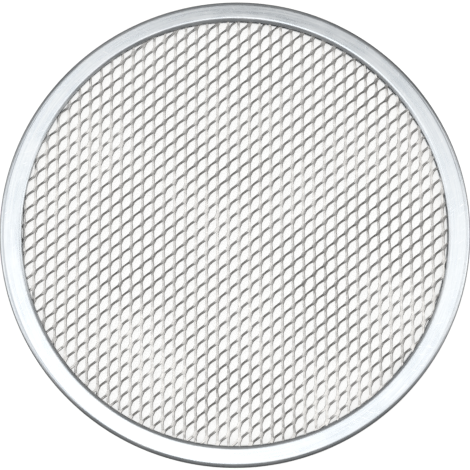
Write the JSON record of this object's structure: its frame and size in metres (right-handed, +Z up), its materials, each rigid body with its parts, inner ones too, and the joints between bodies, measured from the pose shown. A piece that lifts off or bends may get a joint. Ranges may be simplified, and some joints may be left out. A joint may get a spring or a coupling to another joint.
{
  "type": "pizza screen",
  "caption": "Flat round baking screen of raised expanded aluminium mesh with its edge gripped in a folded flat rim, for baking flat dough with air from below",
  "frame": {"origin": "centre of the screen, on the plane that the rim's underside rests on", "axes": "+Z up through the screen's centre; X and Y in the plane of the mesh, whose long way lies 65 degrees from +X towards +Y"},
  "size_m": [0.254, 0.254, 0.0047],
  "materials": {
    "rim_aluminium": "rolled strip, satin with fine lines",
    "mesh_aluminium": "mill finish, cut and stretched sheet"
  },
  "bodies": {
    "root": {"rim": "rim_aluminium", "mesh": "mesh_aluminium"}
  },
  "joints": []
}
